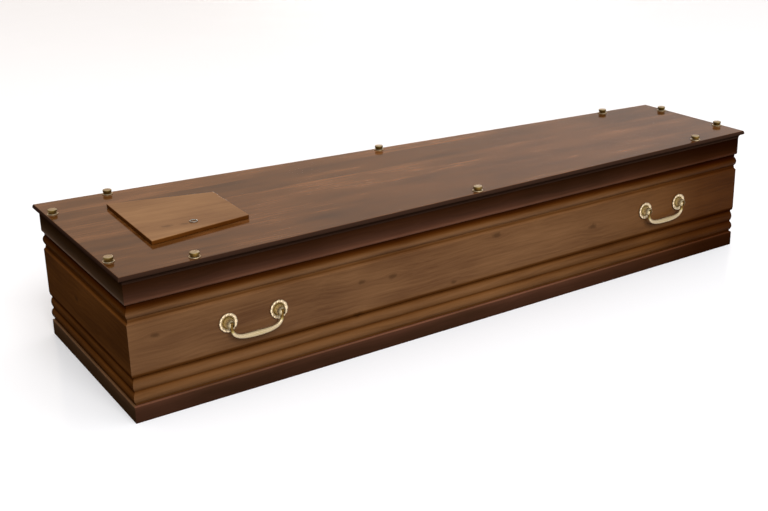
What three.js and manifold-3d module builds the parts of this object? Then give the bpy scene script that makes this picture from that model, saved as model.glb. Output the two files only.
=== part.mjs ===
// Wooden coffin with a flat lid, milled mouldings, brass lid screws and four swinging bail handles.
// Millimetres, +Z up. The origin is on the floor under the middle of the coffin, with the head end towards -X.

import * as THREE from "three";
import { mergeVertices } from "three/addons/utils/BufferGeometryUtils.js";
import Module from "manifold-3d";

const wasm = await Module();
wasm.setup();

// Plan of the box over the outer faces of its walls
const WALL_LENGTH = 2034;
const HEAD_WIDTH = 637;
const FOOT_WIDTH = 421;

// Board thicknesses and heights, from the floor up
const WALL_THICK = 22;
const FLOOR_THICK = 18;
const PLINTH_HEIGHT = 44;
const WALL_HEIGHT = 251.5;
const LID_RAIL_HEIGHT = 52.7;
const LID_BOARD_THICK = 23.7;

// Clearances between separate pieces
const SEAT_GAP = 0.3;
const MITRE_GAP = 0.45;
const SIDE_CLEARANCE = 0.8;

// Mouldings milled into the walls
const GROOVE_DEPTH = 5;
const FOOT_GROOVE_HEIGHT = 4;
const LOWER_BEAD_HEIGHT = 29;
const VEE_HEIGHT = 2;
const MIDDLE_BEAD_HEIGHT = 30;
const MIDDLE_BEAD_SET_BACK = 1.5;
const PANEL_FOOT_FLAT = 5;
const PANEL_FOOT_SLOPE = 11;
const THIN_GROOVE_DEPTH = 4;
const THIN_GROOVE_SLOPE = 5;
const THIN_GROOVE_FLAT = 2.5;
const UPPER_BEAD_HEIGHT = 27;
const CLOSING_GROOVE_HEIGHT = 8;
const BEAD_STEPS = 6;
const PLINTH_ROUND = 3;
const ARRIS_STEPS = 2;

// Lid: rails with a rounded lip, and a board with a thumb-moulded nose
const LID_RAIL_PROUD = 0.6;
const LID_LIP_ROUND = 6;
const LID_OVERHANG = 8.2;
const NOSE_REACH = 4.8;
const NOSE_BEVEL = 9;
const COVE_HEIGHT = 11;

// Tapered board on the lid, and its eyelet
const TOP_BOARD_LENGTH = 277;
const TOP_BOARD_HEAD_WIDTH = 350;
const TOP_BOARD_FOOT_WIDTH = 234;
const TOP_BOARD_THICK = 11;
const TOP_BOARD_ARRIS = 1.5;
const TOP_BOARD_FROM_HEAD = 145;
const TOP_BOARD_OFF_CENTRE = 3.3;
const TOP_BOARD_TURN_DEG = -1.6;
const EYELET_RADIUS = 9.2;
const EYELET_WIRE_RADIUS = 1.6;
const EYELET_FROM_EDGE = 54;
const EYELET_SEGMENTS = 18;

// Lid screws: a washer collar, a neck and a flat cap
const SCREW_COLLAR_RADIUS = 14.4;
const SCREW_COLLAR_HEIGHT = 2.2;
const SCREW_NECK_RADIUS = 9;
const SCREW_NECK_HEIGHT = 3.4;
const SCREW_CAP_RADIUS = 12;
const SCREW_CAP_HEIGHT = 7.6;
const SCREW_EASE = 1.8;
const SCREW_INSET = 15.5;
const SCREW_FROM_END = 193;
const HEAD_SCREW_FROM_SIDE = 112;
const FOOT_SCREW_FROM_SIDE = 93;
const SCREW_SEGMENTS = 12;

// Handles: two rosettes with hooded eyes, and a bail between them
const HANDLE_FROM_END = 323;
const HANDLE_ABOVE_PANEL_CENTRE = 6;
const ROSETTE_SPACING = 139;
const ROSETTE_RADIUS = 25;
const ROSETTE_LOBES = 12;
const ROSETTE_LOBE_DEPTH = 1;
const ROSETTE_RIM_HEIGHT = 5.6;
const HOOD_RADIUS = 11.8;
const HOOD_REACH = 25.5;
const PIVOT_REACH = 18;
const PIVOT_RISE = 2;
const PIN_RADIUS = 2;
const EYE_RADIUS = 5.4;
const EYE_CLEARANCE = 0.5;
const PIN_CLEARANCE = 0.3;
const BAIL_DROP = 41;
const BAIL_ARM_WIDTH = 8.4;
const BAIL_ARM_THICK = 8;
const BAIL_GRIP_WIDTH = 15.6;
const BAIL_GRIP_THICK = 9.5;
const BAIL_SQUARENESS = 3.5;
const BAIL_STEPS = 22;
const BAIL_SIDES = 8;

// Finishes
const STAINED_PINE = new THREE.MeshStandardMaterial({ color: 0x7a5238, roughness: 0.35, metalness: 0 });
const DARK_STAIN = new THREE.MeshStandardMaterial({ color: 0x3a2118, roughness: 0.35, metalness: 0 });
const TOP_BOARD_STAIN = new THREE.MeshStandardMaterial({ color: 0x8f6a48, roughness: 0.35, metalness: 0 });
const BRASS = new THREE.MeshStandardMaterial({ color: 0xc9b07a, roughness: 0.3, metalness: 1 });
const NICKEL = new THREE.MeshStandardMaterial({ color: 0xb8b4a8, roughness: 0.3, metalness: 1 });

// Levels that follow from the heights above
const WALL_FOOT = PLINTH_HEIGHT + SEAT_GAP;
const WALL_TOP = WALL_FOOT + WALL_HEIGHT;
const LID_RAIL_FOOT = WALL_TOP + SEAT_GAP;
const LID_RAIL_TOP = LID_RAIL_FOOT + LID_RAIL_HEIGHT;
const LID_BOARD_FOOT = LID_RAIL_TOP + SEAT_GAP;
const LID_TOP = LID_BOARD_FOOT + LID_BOARD_THICK;
const LOWER_MOULDING_HEIGHT =
  FOOT_GROOVE_HEIGHT + LOWER_BEAD_HEIGHT + VEE_HEIGHT + MIDDLE_BEAD_HEIGHT + PANEL_FOOT_FLAT + PANEL_FOOT_SLOPE;
const UPPER_MOULDING_HEIGHT =
  2 * THIN_GROOVE_SLOPE + THIN_GROOVE_FLAT + UPPER_BEAD_HEIGHT + CLOSING_GROOVE_HEIGHT;
const PANEL_FOOT = WALL_FOOT + LOWER_MOULDING_HEIGHT;
const PANEL_TOP = WALL_TOP - UPPER_MOULDING_HEIGHT;
const ROSETTE_LEVEL = (PANEL_FOOT + PANEL_TOP) / 2 + HANDLE_ABOVE_PANEL_CENTRE;

// Plans are four corners, counter-clockwise from above: head near, foot near, foot far, head far.
const NEAR = 0;
const FOOT = 1;
const FAR = 2;
const HEAD = 3;

function taperedPlan(length, headWidth, footWidth) {
  return [
    new THREE.Vector2(-length / 2, -headWidth / 2),
    new THREE.Vector2(length / 2, -footWidth / 2),
    new THREE.Vector2(length / 2, footWidth / 2),
    new THREE.Vector2(-length / 2, headWidth / 2),
  ];
}

function edgeDirection(plan, edge) {
  return plan[(edge + 1) % 4].clone().sub(plan[edge]).normalize();
}

function edgeNormal(plan, edge) {
  const direction = edgeDirection(plan, edge);
  return new THREE.Vector2(direction.y, -direction.x);
}

// The corner where the two edges that meet there cross once both have moved out by a distance
function offsetCorner(plan, corner, distance) {
  const before = edgeNormal(plan, (corner + 3) % 4);
  const after = edgeNormal(plan, corner % 4);
  const stretch = distance / (1 + before.dot(after));
  return plan[corner % 4].clone().addScaledVector(before.add(after), stretch);
}

function geometryFrom(positions, triangles) {
  const geometry = new THREE.BufferGeometry();
  geometry.setAttribute("position", new THREE.Float32BufferAttribute(positions, 3));
  geometry.setIndex(triangles);
  return geometry;
}

// A straight rail with one section of [out, height] points, mitred at both ends to its neighbours
function mitredRail(plan, edge, section) {
  const direction = edgeDirection(plan, edge);
  const positions = [];
  for (const [out, height] of section) {
    const start = offsetCorner(plan, edge, out).addScaledVector(direction, MITRE_GAP / 2);
    const end = offsetCorner(plan, edge + 1, out).addScaledVector(direction, -MITRE_GAP / 2);
    positions.push(start.x, start.y, height, end.x, end.y, height);
  }
  const triangles = [];
  const count = section.length;
  for (let k = 0; k < count; k++) {
    const next = (k + 1) % count;
    triangles.push(2 * k, 2 * k + 1, 2 * next + 1, 2 * k, 2 * next + 1, 2 * next);
  }
  const outline = section.map(([out, height]) => new THREE.Vector2(out, height));
  for (const [a, b, c] of THREE.ShapeUtils.triangulateShape(outline, [])) {
    triangles.push(2 * a, 2 * b, 2 * c, 2 * a + 1, 2 * c + 1, 2 * b + 1);
  }
  return geometryFrom(positions, triangles);
}

// A board whose edge follows the same [out, height] points on all four sides
function edgedBoard(plan, edge) {
  const positions = [];
  for (const [out, height] of edge) {
    for (let corner = 0; corner < 4; corner++) {
      const point = offsetCorner(plan, corner, out);
      positions.push(point.x, point.y, height);
    }
  }
  const triangles = [];
  for (let ring = 0; ring + 1 < edge.length; ring++) {
    for (let corner = 0; corner < 4; corner++) {
      const a = 4 * ring + corner;
      const b = 4 * ring + ((corner + 1) % 4);
      triangles.push(a, b, b + 4, a, b + 4, a + 4);
    }
  }
  const top = 4 * (edge.length - 1);
  triangles.push(0, 2, 1, 0, 3, 2, top, top + 1, top + 2, top, top + 2, top + 3);
  return geometryFrom(positions, triangles);
}

// A quarter round of [out, height] points from one angle to another about a centre
function roundPoints(centreOut, centreHeight, radiusOut, radiusHeight, fromDeg, toDeg, steps) {
  return Array.from({ length: steps + 1 }, (_, i) => {
    const angle = THREE.MathUtils.degToRad(fromDeg + ((toDeg - fromDeg) * i) / steps);
    return [centreOut + radiusOut * Math.cos(angle), centreHeight + radiusHeight * Math.sin(angle)];
  });
}

// A bead is a circular arc that stands out of a groove floor to its crest
function beadPoints(foot, height, floor, crest) {
  const rise = crest - floor;
  const radius = (height * height / 4 + rise * rise) / (2 * rise);
  const half = THREE.MathUtils.radToDeg(Math.atan2(height / 2, radius - rise));
  return roundPoints(crest - radius, foot + height / 2, radius, radius, -half, half, BEAD_STEPS);
}

function wallSection() {
  const lowerBead = WALL_FOOT + FOOT_GROOVE_HEIGHT;
  const middleBead = lowerBead + LOWER_BEAD_HEIGHT + VEE_HEIGHT;
  const panelFlat = middleBead + MIDDLE_BEAD_HEIGHT + PANEL_FOOT_FLAT;
  const thinGroove = PANEL_TOP + THIN_GROOVE_SLOPE;
  const upperBead = thinGroove + THIN_GROOVE_FLAT + THIN_GROOVE_SLOPE;
  return [
    [-WALL_THICK, WALL_FOOT],
    [-GROOVE_DEPTH, WALL_FOOT],
    ...beadPoints(lowerBead, LOWER_BEAD_HEIGHT, -GROOVE_DEPTH, 0),
    ...beadPoints(middleBead, MIDDLE_BEAD_HEIGHT, -GROOVE_DEPTH, -MIDDLE_BEAD_SET_BACK),
    [-GROOVE_DEPTH, panelFlat],
    [-GROOVE_DEPTH / 4, PANEL_FOOT - PANEL_FOOT_SLOPE / 5],
    [0, PANEL_FOOT],
    [0, PANEL_TOP],
    [-THIN_GROOVE_DEPTH, thinGroove],
    [-THIN_GROOVE_DEPTH, thinGroove + THIN_GROOVE_FLAT],
    ...beadPoints(upperBead, UPPER_BEAD_HEIGHT, -GROOVE_DEPTH, 0),
    [-GROOVE_DEPTH, WALL_TOP],
    [-WALL_THICK, WALL_TOP],
  ];
}

function plinthSection() {
  const round = roundPoints(-PLINTH_ROUND, PLINTH_HEIGHT - PLINTH_ROUND, PLINTH_ROUND, PLINTH_ROUND, 0, 90, ARRIS_STEPS);
  return [[-WALL_THICK, 0], [0, 0], ...round, [-WALL_THICK, PLINTH_HEIGHT]];
}

function lidRailSection() {
  const centre = [LID_RAIL_PROUD - LID_LIP_ROUND, LID_RAIL_FOOT + LID_LIP_ROUND];
  const lip = roundPoints(centre[0], centre[1], LID_LIP_ROUND, LID_LIP_ROUND, -90, 0, 2 * ARRIS_STEPS);
  return [[-WALL_THICK, LID_RAIL_FOOT], ...lip, [LID_RAIL_PROUD, LID_RAIL_TOP], [-WALL_THICK, LID_RAIL_TOP]];
}

// The nose runs from the cove under the board, round its widest line and up to the top arris.
function lidBoardEdge() {
  const widest = LID_OVERHANG + NOSE_REACH;
  const widestLevel = LID_TOP - NOSE_BEVEL;
  const coveLevel = LID_BOARD_FOOT + COVE_HEIGHT;
  const cove = roundPoints(LID_OVERHANG, LID_BOARD_FOOT, LID_OVERHANG - LID_RAIL_PROUD, COVE_HEIGHT, 180, 90, 3);
  const nose = roundPoints(LID_OVERHANG, widestLevel, NOSE_REACH, NOSE_BEVEL, 0, 90, 3);
  return [...cove, [widest - NOSE_REACH / 6, (coveLevel + widestLevel) / 2], ...nose];
}

function topBoardEdge() {
  const eased = [-TOP_BOARD_ARRIS, TOP_BOARD_THICK];
  return [[-TOP_BOARD_ARRIS / 2, 0], [0, TOP_BOARD_ARRIS / 2], [0, TOP_BOARD_THICK - TOP_BOARD_ARRIS], eased];
}

function solidFrom(geometry) {
  const bare = geometry.index ? geometry.toNonIndexed() : geometry.clone();
  bare.deleteAttribute("normal");
  bare.deleteAttribute("uv");
  const merged = mergeVertices(bare, 1e-4);
  return new wasm.Manifold(
    new wasm.Mesh({
      numProp: 3,
      vertProperties: new Float32Array(merged.attributes.position.array),
      triVerts: new Uint32Array(merged.index.array),
    }),
  );
}

function geometryOf(solid) {
  const mesh = solid.getMesh();
  return geometryFrom(Array.from(mesh.vertProperties), Array.from(mesh.triVerts));
}

// A cylinder that lies along X
function crossPin(radius, length, segments) {
  return new THREE.CylinderGeometry(radius, radius, length, segments).rotateZ(Math.PI / 2);
}

// A rosette stands along +Z here: rings of [radius, height], with the outer ones scalloped into lobes.
function rosetteBlank() {
  const segments = 2 * ROSETTE_LOBES;
  const rings = [
    [ROSETTE_RADIUS - ROSETTE_LOBE_DEPTH, 0, ROSETTE_LOBE_DEPTH],
    [ROSETTE_RADIUS, ROSETTE_RIM_HEIGHT * 0.6, ROSETTE_LOBE_DEPTH],
    [ROSETTE_RADIUS * 0.84, ROSETTE_RIM_HEIGHT, ROSETTE_LOBE_DEPTH / 2],
    [ROSETTE_RADIUS * 0.7, ROSETTE_RIM_HEIGHT * 0.55, 0],
    [HOOD_RADIUS + 1, ROSETTE_RIM_HEIGHT * 0.8, 0],
    [HOOD_RADIUS, HOOD_REACH * 0.55, 0],
    [HOOD_RADIUS * 0.72, HOOD_REACH * 0.88, 0],
  ];
  const positions = [0, 0, 0];
  for (const [radius, height, scallop] of rings) {
    for (let i = 0; i < segments; i++) {
      const angle = (i / segments) * 2 * Math.PI;
      const reach = radius - (i % 2) * scallop;
      positions.push(reach * Math.cos(angle), reach * Math.sin(angle), height);
    }
  }
  positions.push(0, 0, HOOD_REACH);
  const apex = rings.length * segments + 1;
  const triangles = [];
  for (let i = 0; i < segments; i++) {
    const next = (i + 1) % segments;
    triangles.push(0, 1 + next, 1 + i);
    for (let ring = 0; ring + 1 < rings.length; ring++) {
      const a = 1 + ring * segments;
      triangles.push(a + i, a + next, a + segments + next, a + i, a + segments + next, a + segments + i);
    }
    triangles.push(apex - segments + i, apex - segments + next, apex);
  }
  return geometryFrom(positions, triangles);
}

// The hood has a slot, open below and in front, where the bail's eye turns on a pin.
function rosetteGeometry() {
  const slotWidth = BAIL_ARM_WIDTH + 2 * EYE_CLEARANCE;
  const slotBack = PIVOT_REACH - EYE_RADIUS - 2 * EYE_CLEARANCE;
  const slotTop = PIVOT_RISE + EYE_RADIUS + EYE_CLEARANCE;
  const slotHeight = slotTop + ROSETTE_RADIUS;
  const slotReach = HOOD_REACH;
  const slot = new THREE.BoxGeometry(slotWidth, slotHeight, slotReach);
  slot.translate(0, slotTop - slotHeight / 2, slotBack + slotReach / 2);
  const pin = crossPin(PIN_RADIUS, 2 * HOOD_RADIUS * 0.7, BAIL_SIDES);
  pin.translate(0, PIVOT_RISE, PIVOT_REACH);
  const slotted = solidFrom(rosetteBlank()).subtract(solidFrom(slot));
  return geometryOf(slotted.add(solidFrom(pin))).rotateX(Math.PI / 2);
}

// The bail hangs from the two pivots in the plane y = 0, with the pivots on z = 0.
function bailPoint(share) {
  const angle = Math.PI * share;
  const side = Math.cos(angle);
  const power = 2 / BAIL_SQUARENESS;
  const x = -Math.sign(side) * (ROSETTE_SPACING / 2) * Math.abs(side) ** power;
  return new THREE.Vector3(x, 0, -BAIL_DROP * Math.sin(angle) ** power);
}

function bailBand() {
  const points = Array.from({ length: BAIL_STEPS + 1 }, (_, i) => bailPoint(i / BAIL_STEPS));
  const positions = [];
  for (let i = 0; i <= BAIL_STEPS; i++) {
    const along = points[Math.min(i + 1, BAIL_STEPS)].clone().sub(points[Math.max(i - 1, 0)]).normalize();
    if (i === 0 || i === BAIL_STEPS) along.set(0, 0, i === 0 ? -1 : 1);
    const across = new THREE.Vector3(-along.z, 0, along.x);
    const swell = Math.sin((Math.PI * i) / BAIL_STEPS) ** 2;
    const width = THREE.MathUtils.lerp(BAIL_ARM_WIDTH, BAIL_GRIP_WIDTH, swell);
    const thick = THREE.MathUtils.lerp(BAIL_ARM_THICK, BAIL_GRIP_THICK, swell);
    for (let s = 0; s < BAIL_SIDES; s++) {
      const angle = ((s + 0.5) / BAIL_SIDES) * 2 * Math.PI;
      const point = points[i].clone().addScaledVector(across, (width / 2) * Math.cos(angle));
      positions.push(point.x, (thick / 2) * Math.sin(angle), point.z);
    }
  }
  const triangles = [];
  for (let i = 0; i < BAIL_STEPS; i++) {
    for (let s = 0; s < BAIL_SIDES; s++) {
      const a = i * BAIL_SIDES + s;
      const b = i * BAIL_SIDES + ((s + 1) % BAIL_SIDES);
      triangles.push(a, b + BAIL_SIDES, b, a, a + BAIL_SIDES, b + BAIL_SIDES);
    }
  }
  const last = BAIL_STEPS * BAIL_SIDES;
  for (let s = 1; s + 1 < BAIL_SIDES; s++) {
    triangles.push(0, s, s + 1, last, last + s + 1, last + s);
  }
  return geometryFrom(positions, triangles);
}

function bailGeometry() {
  let solid = solidFrom(bailBand());
  for (const side of [-1, 1]) {
    const x = (side * ROSETTE_SPACING) / 2;
    const eye = crossPin(EYE_RADIUS, BAIL_ARM_WIDTH, 12).translate(x, 0, 0);
    const hole = crossPin(PIN_RADIUS + PIN_CLEARANCE, 2 * BAIL_ARM_WIDTH, BAIL_SIDES).translate(x, 0, 0);
    solid = solid.add(solidFrom(eye)).subtract(solidFrom(hole));
  }
  return geometryOf(solid);
}

function screwGeometry() {
  const neckTop = SCREW_COLLAR_HEIGHT + SCREW_NECK_HEIGHT;
  const capTop = neckTop + SCREW_CAP_HEIGHT;
  const profile = [
    [0, 0],
    [SCREW_COLLAR_RADIUS, 0],
    [SCREW_COLLAR_RADIUS, SCREW_COLLAR_HEIGHT],
    [SCREW_NECK_RADIUS, SCREW_COLLAR_HEIGHT + SCREW_NECK_HEIGHT / 2],
    [SCREW_NECK_RADIUS, neckTop],
    [SCREW_CAP_RADIUS, neckTop + SCREW_EASE / 2],
    [SCREW_CAP_RADIUS, capTop - SCREW_EASE],
    [SCREW_CAP_RADIUS - SCREW_EASE, capTop],
    [0, capTop],
  ];
  return turned(profile, SCREW_SEGMENTS);
}

// A turned piece on the Z axis from [radius, height] points, bottom first
function turned(profile, segments) {
  const points = profile.map(([radius, height]) => new THREE.Vector2(radius, height));
  return new THREE.LatheGeometry(points, segments).rotateX(Math.PI / 2);
}

function eyeletGeometry() {
  const sides = 6;
  const ring = Array.from({ length: sides + 1 }, (_, i) => {
    const angle = (i / sides) * 2 * Math.PI;
    return [EYELET_RADIUS + EYELET_WIRE_RADIUS * Math.cos(angle), EYELET_WIRE_RADIUS * (1 + Math.sin(angle))];
  });
  return turned(ring, EYELET_SEGMENTS);
}

const coffin = new THREE.Group();
const wallPlan = taperedPlan(WALL_LENGTH, HEAD_WIDTH, FOOT_WIDTH);
const sides = [
  [NEAR, "near"],
  [FOOT, "foot"],
  [FAR, "far"],
  [HEAD, "head"],
];

function addPiece(parent, name, geometry, material) {
  const mesh = new THREE.Mesh(geometry, material);
  mesh.name = name;
  parent.add(mesh);
  return mesh;
}

function addFloor() {
  const inset = WALL_THICK + SIDE_CLEARANCE;
  addPiece(coffin, "floor_board", edgedBoard(wallPlan, [[-inset, 0], [-inset, FLOOR_THICK]]), STAINED_PINE);
}

function addWallsAndRails() {
  for (const [edge, side] of sides) {
    const board = edge === HEAD || edge === FOOT ? `${side}_board` : `side_board_${side}`;
    addPiece(coffin, `plinth_${side}`, mitredRail(wallPlan, edge, plinthSection()), DARK_STAIN);
    addPiece(coffin, board, mitredRail(wallPlan, edge, wallSection()), STAINED_PINE);
    addPiece(coffin, `lid_rail_${side}`, mitredRail(wallPlan, edge, lidRailSection()), DARK_STAIN);
  }
}

function addLidBoard() {
  addPiece(coffin, "lid_board", edgedBoard(wallPlan, lidBoardEdge()), STAINED_PINE);
}

function addTopBoard() {
  const group = new THREE.Group();
  const headArris = -WALL_LENGTH / 2 - LID_OVERHANG;
  const centre = headArris + TOP_BOARD_FROM_HEAD + TOP_BOARD_LENGTH / 2;
  group.position.set(centre, TOP_BOARD_OFF_CENTRE, LID_TOP + SEAT_GAP);
  group.rotation.z = THREE.MathUtils.degToRad(TOP_BOARD_TURN_DEG);
  const plan = taperedPlan(TOP_BOARD_LENGTH, TOP_BOARD_HEAD_WIDTH, TOP_BOARD_FOOT_WIDTH);
  addPiece(group, "top_board", edgedBoard(plan, topBoardEdge()), TOP_BOARD_STAIN);
  const eyelet = addPiece(group, "board_eyelet", eyeletGeometry(), NICKEL);
  const middleWidth = (TOP_BOARD_HEAD_WIDTH + TOP_BOARD_FOOT_WIDTH) / 2;
  eyelet.position.set(0, EYELET_FROM_EDGE - middleWidth / 2, TOP_BOARD_THICK + SEAT_GAP);
  coffin.add(group);
}

// The point on an edge of the plan, moved out by a distance, that has a given value of x or of y
function edgePoint(plan, edge, out, axis, value) {
  const start = offsetCorner(plan, edge, out);
  const end = offsetCorner(plan, edge + 1, out);
  return start.clone().lerp(end, (value - start[axis]) / (end[axis] - start[axis]));
}

function screwPlaces() {
  const out = LID_OVERHANG - SCREW_INSET;
  const endX = WALL_LENGTH / 2 + LID_OVERHANG - SCREW_FROM_END;
  const headY = offsetCorner(wallPlan, HEAD, LID_OVERHANG).y - HEAD_SCREW_FROM_SIDE;
  const footY = offsetCorner(wallPlan, FOOT + 1, LID_OVERHANG).y - FOOT_SCREW_FROM_SIDE;
  return [
    ...[-endX, 0, endX].map((x) => edgePoint(wallPlan, NEAR, out, "x", x)),
    ...[-footY, footY].map((y) => edgePoint(wallPlan, FOOT, out, "y", y)),
    ...[endX, 0, -endX].map((x) => edgePoint(wallPlan, FAR, out, "x", x)),
    ...[headY, -headY].map((y) => edgePoint(wallPlan, HEAD, out, "y", y)),
  ];
}

function addLidScrews() {
  screwPlaces().forEach((place, index) => {
    const screw = addPiece(coffin, `lid_screw_${index + 1}`, screwGeometry(), BRASS);
    screw.position.set(place.x, place.y, LID_TOP + SEAT_GAP);
  });
}

// A handle's group stands on the wall face, with x along the wall and -y out of it.
function addHandle(edge, side, end, x) {
  const group = new THREE.Group();
  const place = edgePoint(wallPlan, edge, 0, "x", x);
  const direction = edgeDirection(wallPlan, edge);
  group.position.set(place.x, place.y, ROSETTE_LEVEL);
  group.rotation.z = Math.atan2(direction.y, direction.x);
  for (const [hand, name] of [[-1, "left"], [1, "right"]]) {
    const rosette = addPiece(group, `rosette_${side}_${end}_${name}`, rosetteGeometry(), BRASS);
    rosette.position.set((hand * ROSETTE_SPACING) / 2, -SEAT_GAP, 0);
  }
  const bail = addPiece(group, `bail_${side}_${end}`, bailGeometry(), BRASS);
  bail.position.set(0, -SEAT_GAP - PIVOT_REACH, PIVOT_RISE);
  coffin.add(group);
}

function addHandles() {
  const x = WALL_LENGTH / 2 - HANDLE_FROM_END;
  for (const [edge, side] of [[NEAR, "near"], [FAR, "far"]]) {
    addHandle(edge, side, "head", -x);
    addHandle(edge, side, "foot", x);
  }
}

addFloor();
addWallsAndRails();
addLidBoard();
addTopBoard();
addLidScrews();
addHandles();

export default coffin;
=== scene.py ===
# Wooden coffin in walnut-stained pine, with mitred mouldings, a flat lid, brass screws and bail handles.
# Metres, +Z up, head end towards -X, near side towards -Y. Lengths in the tables below are millimetres.

import math

import bmesh
import bpy
from mathutils import Euler, Matrix, Vector


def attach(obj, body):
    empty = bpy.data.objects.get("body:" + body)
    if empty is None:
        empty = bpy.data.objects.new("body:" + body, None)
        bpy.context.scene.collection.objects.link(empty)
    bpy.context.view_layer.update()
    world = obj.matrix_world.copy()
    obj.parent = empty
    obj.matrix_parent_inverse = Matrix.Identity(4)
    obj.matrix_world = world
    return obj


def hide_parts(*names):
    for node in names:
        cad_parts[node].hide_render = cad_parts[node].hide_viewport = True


MM = 0.001

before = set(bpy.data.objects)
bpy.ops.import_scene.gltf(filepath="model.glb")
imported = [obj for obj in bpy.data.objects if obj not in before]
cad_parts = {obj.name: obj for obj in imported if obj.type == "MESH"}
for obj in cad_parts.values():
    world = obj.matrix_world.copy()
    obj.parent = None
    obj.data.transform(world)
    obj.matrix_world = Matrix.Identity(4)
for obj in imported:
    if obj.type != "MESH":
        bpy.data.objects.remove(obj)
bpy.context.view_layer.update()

# Plan of the box over its walls, and the levels of its pieces
WALL_LENGTH = 2034
HEAD_WIDTH = 637
FOOT_WIDTH = 421
WALL_THICK = 22
MITRE_GAP = 0.45
PLINTH_TOP = 44
WALL_FOOT = 44.3
WALL_TOP = 295.8
LID_RAIL_FOOT = 296.1
LID_RAIL_TOP = 348.8
LID_BOARD_FOOT = 349.1
LID_TOP = 372.8
SEAT_GAP = 0.3

# Mouldings milled into the walls. A bead is given by its foot, its height and how far its crest stands out.
GROOVE_DEPTH = 5
LOWER_BEAD = (48.3, 29, 0)
MIDDLE_BEAD = (79.3, 30, -1.5)
UPPER_BEAD = (260.8, 27, 0)
PANEL_COVE = (4.2, 5.5)
PANEL_COVE_FOOT = 114.3
PANEL_FOOT = 125.3
PANEL_TOP = 248.3
THIN_GROOVE_DEPTH = 4
THIN_GROOVE_SLOPE = 5
THIN_GROOVE_FLAT = 2.5
EASED_EDGE = 0.9
PLINTH_EASED_EDGE = 0.7
PLINTH_ROUND = 3
# A flat longer than the first gets extra points at the second from its ends
LONG_FLAT = 4
HOLD_STEP = 0.6

# Lid edge
LID_RAIL_PROUD = 0.6
LIP_ROUND = 6
LID_OVERHANG = 8.2
NOSE_REACH = 4.8
NOSE_BEVEL = 9
COVE_HEIGHT = 11

# Tapered board on the lid, with its eyelet
TOP_BOARD_LENGTH = 277
TOP_BOARD_HEAD_WIDTH = 350
TOP_BOARD_FOOT_WIDTH = 234
TOP_BOARD_THICK = 11
TOP_BOARD_ROUND = 1.5
TOP_BOARD_CHAMFER = 0.75
TOP_BOARD_CENTRE = (-741.7, 3.3)
TOP_BOARD_TURN = math.radians(-1.6)
EYELET_RADIUS = 9.2
EYELET_WIRE = 1.6
EYELET_WIRE_HEIGHT = 2.98
EYELET_FROM_EDGE = 54

# Lid screws, from the straight part of the lid's edge
SCREW_INSET = 15.5
SCREW_FROM_END = 193
SCREW_FROM_HEAD_CORNER = 112
SCREW_FROM_FOOT_CORNER = 93

# Handles
HANDLE_X = 694
ROSETTE_LEVEL = 192.8
ROSETTE_SPACING = 139
PIVOT_REACH = 18
PIVOT_RISE = 2
PIN_RADIUS = 2
PIN_HALF = 7.5
EYE_RADIUS = 5.4
EYE_BORE = 2.3
SLOT_SIDE_GAP = 0.5
SLOT_BACK_GAP = 1
SLOT_TOP_GAP = 0.5
BAIL_DROP = 41
BAIL_SQUARENESS = 3.5
ARM_WIDTH = 8.4
ARM_THICK = 8
GRIP_WIDTH = 15.6
GRIP_THICK = 9.5
REEDS = 10
REED_DEPTH = 0.055

# Plan corners, counter-clockwise from above, and the four edges that start at them
NEAR, FOOT, FAR, HEAD = range(4)
SIDES = {NEAR: "near", FOOT: "foot", FAR: "far", HEAD: "head"}


def tapered_plan(length, head_width, foot_width):
    return [
        Vector((-length / 2, -head_width / 2)),
        Vector((length / 2, -foot_width / 2)),
        Vector((length / 2, foot_width / 2)),
        Vector((-length / 2, head_width / 2)),
    ]


WALL_PLAN = tapered_plan(WALL_LENGTH, HEAD_WIDTH, FOOT_WIDTH)

# Lays a turned piece's own axis along X
ACROSS = Matrix.Rotation(math.pi / 2, 4, "Y")


def edge_direction(plan, edge):
    return (plan[(edge + 1) % 4] - plan[edge % 4]).normalized()


def edge_normal(plan, edge):
    along = edge_direction(plan, edge)
    return Vector((along.y, -along.x))


def mitre_step(plan, corner):
    """How far a corner moves for each millimetre that its two edges move out."""
    before = edge_normal(plan, corner + 3)
    after = edge_normal(plan, corner)
    return (before + after) / (1 + before.dot(after))


def arc(centre, radius, from_deg, to_deg, steps):
    """Points [out, height] on an arc; the radius may differ between the two directions."""
    out_radius, height_radius = radius
    points = []
    for i in range(steps + 1):
        angle = math.radians(from_deg + (to_deg - from_deg) * i / steps)
        points.append((centre[0] + out_radius * math.cos(angle), centre[1] + height_radius * math.sin(angle)))
    return points


def bead(place, floor):
    foot, height, crest = place
    rise = crest - floor
    radius = (height * height / 4 + rise * rise) / (2 * rise)
    half = math.degrees(math.atan2(height / 2, radius - rise))
    return arc((crest - radius, foot + height / 2), (radius, radius), -half, half, 20)


def eased(points, radius):
    """The same outline with each hard corner rounded over, as sanding before the lacquer leaves it."""
    soft = []
    count = len(points)
    for i, point in enumerate(points):
        here = Vector(point)
        before = Vector(points[i - 1]) - here
        after = Vector(points[(i + 1) % count]) - here
        turn = math.pi - before.angle(after, math.pi)
        if turn < math.radians(18):
            soft.append(tuple(here))
            continue
        cut = min(radius, before.length * 0.45, after.length * 0.45)
        start = here + before.normalized() * cut
        end = here + after.normalized() * cut
        for step in range(5):
            t = step / 4
            soft.append(tuple(start * (1 - t) ** 2 + here * 2 * t * (1 - t) + end * t * t))
    return soft


def held(points, closed=True):
    """The same outline with points near both ends of each long flat, so that it shades flat there."""
    firm = []
    count = len(points)
    for i in range(count if closed else count - 1):
        start = Vector(points[i])
        run = Vector(points[(i + 1) % count]) - start
        firm.append(tuple(start))
        if run.length > LONG_FLAT:
            step = run.normalized() * HOLD_STEP
            firm += [tuple(start + step), tuple(start + run - step)]
    if not closed:
        firm.append(points[-1])
    return firm


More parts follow.
